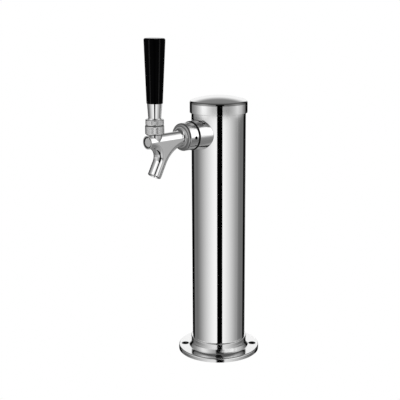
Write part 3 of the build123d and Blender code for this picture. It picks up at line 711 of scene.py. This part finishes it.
# The bonnet's bevels, the gap under the collar and the collar's top edge get painted shade.
ribbed_chrome = metal(
    "ribbed_chrome", grey=0.84, rough=0.12, haze=0.08, wave_size=420.0, wave_height=0.01 * MM,
    painted_shade=[(under_bonnet, 0.05), (ball_joint_gap, 0.05), (collar_top, 0.2)],
)
brass = metal(
    "brass", grey=0.8, rough=0.2, haze=0.15, wave_size=300.0, wave_height=0.02 * MM,
    tint=(0.95, 0.72, 0.38),
)
print("chrome and brass finishes made")


# %% Handle, rubber, plastic and foam finishes
GRAIN_ROUGHNESS = 0.06


def plain(name, colour, darker, rough, grain_size, grain_height, gloss=0.5, mottle=60.0):
    """A solid-coloured material with mottled colour and a fine grain."""
    material, tree = new_finish(name)
    point = place(tree)
    cloud = noise(tree, point, mottle, detail=5.0, roughness=0.6)
    grain = noise(tree, point, grain_size, detail=3.0, roughness=0.6)
    close_finish(
        tree,
        {
            "Base Color": mix_colours(tree, cloud, darker, colour),
            "Roughness": rough + GRAIN_ROUGHNESS * (grain - 0.5),
            "Normal": bump(tree, grain, grain_height),
            "Specular IOR Level": gloss,
        },
    )
    return material


black_gloss = plain(
    "black_gloss", (0.0008, 0.0008, 0.0009, 1), (0.0004, 0.0004, 0.0005, 1), rough=0.1,
    grain_size=900.0, grain_height=0.003 * MM, gloss=0.015,
)
black_rubber = plain(
    "black_rubber", (0.022, 0.022, 0.022, 1), (0.014, 0.014, 0.014, 1), rough=0.72,
    grain_size=2600.0, grain_height=0.03 * MM,
)
white_plastic = plain(
    "white_plastic", (0.82, 0.82, 0.8, 1), (0.78, 0.78, 0.75, 1), rough=0.42,
    grain_size=1500.0, grain_height=0.015 * MM,
)
white_foam = plain(
    "white_foam", (0.86, 0.85, 0.8, 1), (0.78, 0.76, 0.7, 1), rough=0.9,
    grain_size=700.0, grain_height=0.4 * MM, mottle=420.0,
)
print("other finishes made")

# %% [markdown]
# ## Give every solid its finish
#
# The solids that keep their shape only need a material in their slot. The list goes by the
# record's own material slots. A few pieces differ within their slot: the base is turned and
# less bright than the drawn column, the ferrule is buffed like a mirror, the nuts are
# tumbled before they are plated, and some pieces have painted shade in grooves, gaps and faces.

# %% Assign finishes to the solids
by_slot = {
    "polished_steel": mirror_steel,
    "chrome_plate": bright_chrome,
    "black_handle": black_gloss,
    "black_rubber": black_rubber,
    "white_plastic": white_plastic,
    "white_foam": white_foam,
    "brass_parts": brass,
}
by_piece = {
    "base_flange": turned_steel,
    "column_cap": cap_steel,
    "faucet_shaft": shaft_steel,
    "faucet_body": tap_chrome,
    "handle_ferrule": mirror_chrome,
    "coupling_nut": nut_chrome,
    "shank_collar": collar_chrome,
    "shank_locknut": tumbled_chrome,
    "elbow_nut": tumbled_chrome,
}
for part in frame["record"]["subparts"]:
    mesh = nodes[part["node"]].data
    mesh.materials.clear()
    mesh.materials.append(by_piece.get(part["node"], by_slot[part["material_slot"]]))
print("finishes assigned to", len(nodes))

# %% [markdown]
# ## Turned pieces with ribs and threads
#
# The bonnet that holds the lever's ball is gripped by a spanner or by hand, so its side is
# cut into ribs, and the shank is threaded inside the column. Both are a turned outline
# whose skin dips by a rule: ribs repeat round the axis, and a thread climbs as it goes
# round. One Geometry Nodes tree can make both. It spins the outline's points on a grid and
# pulls the skin in by the rule, so the outer size stays the solid's.


# %% Build the Geometry Nodes tree for turned pieces
def turning_tree():
    """Spins an outline about Z and cuts ribs or a thread into its outer skin."""
    tree = bpy.data.node_groups.new("turned_piece", "GeometryNodeTree")
    sides = tree.interface
    sides.new_socket("Geometry", in_out="INPUT", socket_type="NodeSocketGeometry")
    for name, kind in (
        ("Points", "NodeSocketInt"), ("Around", "NodeSocketInt"),
        ("Cuts", "NodeSocketFloat"), ("Climb", "NodeSocketFloat"),
        ("Depth", "NodeSocketFloat"), ("Low", "NodeSocketFloat"),
        ("High", "NodeSocketFloat"), ("Skin", "NodeSocketFloat"),
        ("Sharpness", "NodeSocketFloat"), ("Finish", "NodeSocketMaterial"),
    ):
        sides.new_socket(name, in_out="INPUT", socket_type=kind)
    sides.new_socket("Geometry", in_out="OUTPUT", socket_type="NodeSocketGeometry")
    given = tree.nodes.new("NodeGroupInput")
    asked = {name: Amount(tree, given.outputs[name]) for name in (
        "Geometry", "Points", "Around", "Cuts", "Climb", "Depth", "Low", "High", "Skin",
        "Sharpness", "Finish")}

    grid = add_node(
        tree, "GeometryNodeMeshGrid", None,
        {"Size X": 1.0, "Size Y": 1.0, "Vertices X": asked["Around"] + 1,
         "Vertices Y": asked["Points"] + 1},
    )
    index = add_node(tree, "GeometryNodeInputIndex")
    column = index.math("FLOOR", index / (asked["Points"] + 1))
    row = index - column * (asked["Points"] + 1)
    row = row.math("MODULO", row, asked["Points"])
    outline = add_node(
        tree, "GeometryNodeSampleIndex", {"data_type": "FLOAT_VECTOR", "domain": "POINT"},
        {"Geometry": asked["Geometry"], "Value": add_node(tree, "GeometryNodeInputPosition"),
         "Index": row},
    )
    radius, _, along_axis = parts_of(tree, outline)
    share = column / asked["Around"]
    angle = share * (2 * math.pi)
    phase = share * asked["Cuts"] + along_axis * asked["Climb"]
    wave = phase.math("FRACT", phase) * 2 - 1
    dip = (1 - abs(wave)) ** asked["Sharpness"]
    inside = (along_axis > asked["Low"]) * (along_axis < asked["High"]) * (radius > asked["Skin"])
    cut = radius - dip * asked["Depth"] * inside
    placed = add_node(
        tree, "ShaderNodeCombineXYZ", None,
        {0: cut * angle.math("COSINE", angle), 1: cut * angle.math("SINE", angle), 2: along_axis},
    )
    spun = add_node(
        tree, "GeometryNodeSetPosition", None, {"Geometry": grid, "Position": placed}
    )
    closed = add_node(
        tree, "GeometryNodeMergeByDistance", None, {"Geometry": spun, "Distance": 1e-6}
    )
    real = add_node(tree, "GeometryNodeRealizeInstances", None, {"Geometry": closed})
    done = add_node(
        tree, "GeometryNodeSetMaterial", None, {"Geometry": real, "Material": asked["Finish"]}
    )
    out = tree.nodes.new("NodeGroupOutput")
    tree.links.new(done.socket, out.inputs["Geometry"])
    return tree


turned_tree = turning_tree()
print("turning tree nodes", len(turned_tree.nodes))


# %% Use the tree
def run_tree(name, source_mesh, tree, values):
    """The plain mesh that a Geometry Nodes tree makes of a source mesh."""
    source = bpy.data.objects.new(name + "_source", source_mesh)
    bpy.context.scene.collection.objects.link(source)
    modifier = source.modifiers.new("nodes", "NODES")
    modifier.node_group = tree
    for item in tree.interface.items_tree:
        if item.item_type == "SOCKET" and item.in_out == "INPUT" and item.name in values:
            modifier[item.identifier] = values[item.name]
    graph = bpy.context.evaluated_depsgraph_get()
    mesh = bpy.data.meshes.new_from_object(source.evaluated_get(graph), depsgraph=graph)
    mesh.name = name
    source.modifiers.remove(modifier)
    bpy.data.objects.remove(source)
    return mesh


SKIN_MARGIN = 0.05 * MM


def turned(name, outline, around, finish, low, high, cuts, depth, radius, sharpness, climb=0):
    """A closed turned piece from an outline of (radius, height) points, in metres.

    Between the heights low and high, its skin at this radius is cut this deep.
    """
    source = bpy.data.meshes.new(name + "_outline")
    source.from_pydata(
        [(r, 0, z) for r, z in outline],
        [(i, (i + 1) % len(outline)) for i in range(len(outline))], [],
    )
    return run_tree(
        name, source, turned_tree,
        {"Points": len(outline), "Around": around, "Cuts": float(cuts), "Climb": float(climb),
         "Depth": depth, "Low": low, "High": high, "Skin": radius - SKIN_MARGIN,
         "Sharpness": sharpness, "Finish": finish},
    )


def soften(outline, longest):
    """The outline with its long sides divided, so that no side is longer than this."""
    points = []
    for (r, z), (next_r, next_z) in zip(outline, outline[1:] + outline[:1]):
        count = max(1, math.ceil(math.dist((r, z), (next_r, next_z)) / longest))
        points += [
            (r + (next_r - r) * i / count, z + (next_z - z) * i / count) for i in range(count)
        ]
    return points


def show(name, mesh, body, slot, *replaced):
    """Links a finished mesh, lets it ride on a body and stand for the solids it replaces."""
    piece = bpy.data.objects.new(name, mesh)
    bpy.context.scene.collection.objects.link(piece)
    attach(piece, body)
    if replaced:
        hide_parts(*replaced)
    print(name, "faces", len(mesh.polygons))
    return piece


print("turning helpers ready")

# %% [markdown]
# ## The ribbed bonnet
#
# The bonnet screws down over the lever's ball. The photograph shows soft upright streaks on
# its side, which are shallow ribs for gripping. They stop short of the chamfers, so its
# outline stays a clean cylinder with two bevels.

# %% Make the bonnet
BONNET_RIBS = 36
POINTS_PER_RIB = 8
RIB_SHARPNESS = 1.4
OUTLINE_STEP = 0.5 * MM
LOWER_BEVEL, UPPER_BEVEL = 1.4 * MM, 1.1 * MM
low, high = bonnet_low.z, bonnet_high.z
bore, hole, inner_top = 9.5 * MM, 7.8 * MM, high - 3.5 * MM
bonnet_outline = [
    (bore, low), (bonnet_radius - LOWER_BEVEL, low), (bonnet_radius, low + LOWER_BEVEL),
    (bonnet_radius, high - UPPER_BEVEL), (bonnet_radius - UPPER_BEVEL, high), (hole, high),
    (hole, inner_top), (bore, inner_top),
]
bonnet_mesh = turned(
    "bonnet_ribbed", soften(bonnet_outline, OUTLINE_STEP), BONNET_RIBS * POINTS_PER_RIB,
    ribbed_chrome, low=low + 2.0 * MM, high=high - 1.7 * MM, cuts=BONNET_RIBS,
    depth=0.28 * MM, radius=bonnet_radius, sharpness=RIB_SHARPNESS,
)
bonnet_mesh.transform(Matrix.Translation((0, -lever_reach, 0)))
bonnet = show("bonnet_ribbed", bonnet_mesh, "tower", "chrome_plate", "compression_bonnet")

# %% [markdown]
# ## The collar over the bonnet
#
# The cup-shaped collar turns with the lever and hides the ball joint. It is ribbed like the
# bonnet, and leans back with the handle by one degree. Its hollow is a part of a ball round
# the pivot, so that it can swing over the bonnet without touching it.

# %% Make the collar
LEVER_LEAN = math.radians(1)
COLLAR_RIBS = 40
COLLAR_CHAMFER = 0.4 * MM
BALL_CLEARANCE = 0.25 * MM
HOLLOW_STEPS = 10
pivot = Vector([joint["pos_m"] for joint in frame["joints"] if joint["name"] == "lever_tilt"][0])
collar_radius = (collar_high.x - collar_low.x) / 2
lean_spill = collar_radius * math.sin(LEVER_LEAN)
low, high = collar_low.z + lean_spill, collar_high.z - lean_spill
hollow = BALL_CLEARANCE + math.hypot(bonnet_radius, bonnet_high.z - UPPER_BEVEL - pivot.z)
stud_hole = 4.85 * MM
hollow_start = math.asin((low - pivot.z) / hollow)
hollow_end = math.acos(stud_hole / hollow)
hollow_angles = [
    hollow_start + (hollow_end - hollow_start) * step / HOLLOW_STEPS
    for step in range(HOLLOW_STEPS + 1)
]
collar_outline = [
    (stud_hole, high), (collar_radius - COLLAR_CHAMFER, high),
    (collar_radius, high - COLLAR_CHAMFER), (collar_radius, low),
    *[(hollow * math.cos(angle), pivot.z + hollow * math.sin(angle)) for angle in hollow_angles],
]
collar_mesh = turned(
    "collar_ribbed", soften(collar_outline, OUTLINE_STEP), COLLAR_RIBS * POINTS_PER_RIB,
    ribbed_chrome, low=low + 0.9 * MM, high=high - 1.2 * MM, cuts=COLLAR_RIBS,
    depth=0.25 * MM, radius=collar_radius, sharpness=RIB_SHARPNESS,
)
leaning = Matrix.Rotation(-LEVER_LEAN, 4, "X")
to_pivot = Matrix.Translation(pivot)
collar_mesh.transform(to_pivot @ leaning @ Matrix.Translation((0, 0, -pivot.z)))
collar = show("collar_ribbed", collar_mesh, "lever", "chrome_plate", "lever_collar")

# %% [markdown]
# ## The threaded shank
#
# The shank holds the tap to the column. Inside the column it is threaded for the lock nut and
# the line elbow's nut. It is turned about the tap's axis, so its outline is drawn with the
# reach as height and then laid down. The thread is right-handed: it climbs one pitch a turn.

# %% Make the shank
THREAD_PITCH = 1.8 * MM
THREAD_DEPTH = 0.9 * MM
THREAD_AROUND, POINTS_PER_PITCH = 72, 6
shank_start, shank_end = -shank_high.y, -shank_low.y
shank_skin, shank_bore = 11.1 * MM, 4.0 * MM
flange_radius, flange_wide = shank_high.x, 3.0 * MM
coupling_skin, coupling_long = 14.3 * MM, 6.9 * MM
mouth_radius, mouth_deep = 7.5 * MM, 6.5 * MM
flange_start = shank_end - coupling_long - flange_wide
shank_outline = [
    (shank_bore, shank_start), (shank_skin, shank_start), (shank_skin, flange_start),
    (flange_radius, flange_start), (flange_radius, shank_end - coupling_long),
    (coupling_skin, shank_end - coupling_long), (coupling_skin, shank_end),
    (mouth_radius, shank_end), (mouth_radius, shank_end - mouth_deep),
    (shank_bore, shank_end - mouth_deep),
]
shank_mesh = turned(
    "shank_threaded", soften(shank_outline, THREAD_PITCH / POINTS_PER_PITCH), THREAD_AROUND,
    bright_chrome, low=shank_start + 1.2 * MM, high=column_radius - 4 * MM, cuts=1,
    depth=THREAD_DEPTH, radius=shank_skin, sharpness=0.8, climb=-1 / THREAD_PITCH,
)
laid_down = Matrix.Rotation(math.pi / 2, 4, "X")
shank_mesh.transform(Matrix.Translation((0, 0, tap_height)) @ laid_down)
show("shank_threaded", shank_mesh, "tower", "chrome_plate", "faucet_shank")

# %% [markdown]
# ## A clean column
#
# The photograph's column shows no picture of the tap beside it: the product was shot in
# pieces and put together. So the pieces that a clean mirror would show as dark streaks are
# left out of mirror rays. They still shade and hide each other.

# %% Keep the tap out of the mirror
UNSEEN = (
    "tap_handle", "handle_ferrule", "handle_insert", "lever", "faucet_body", "faucet_shaft",
    "ball_washer", "friction_washer", "shank_collar", "collar_gasket", "coupling_nut",
)
for piece in [nodes[name] for name in UNSEEN] + [bonnet, collar]:
    piece.visible_glossy = False
print("mirror sees no tap")

# %% End
print("end of script")
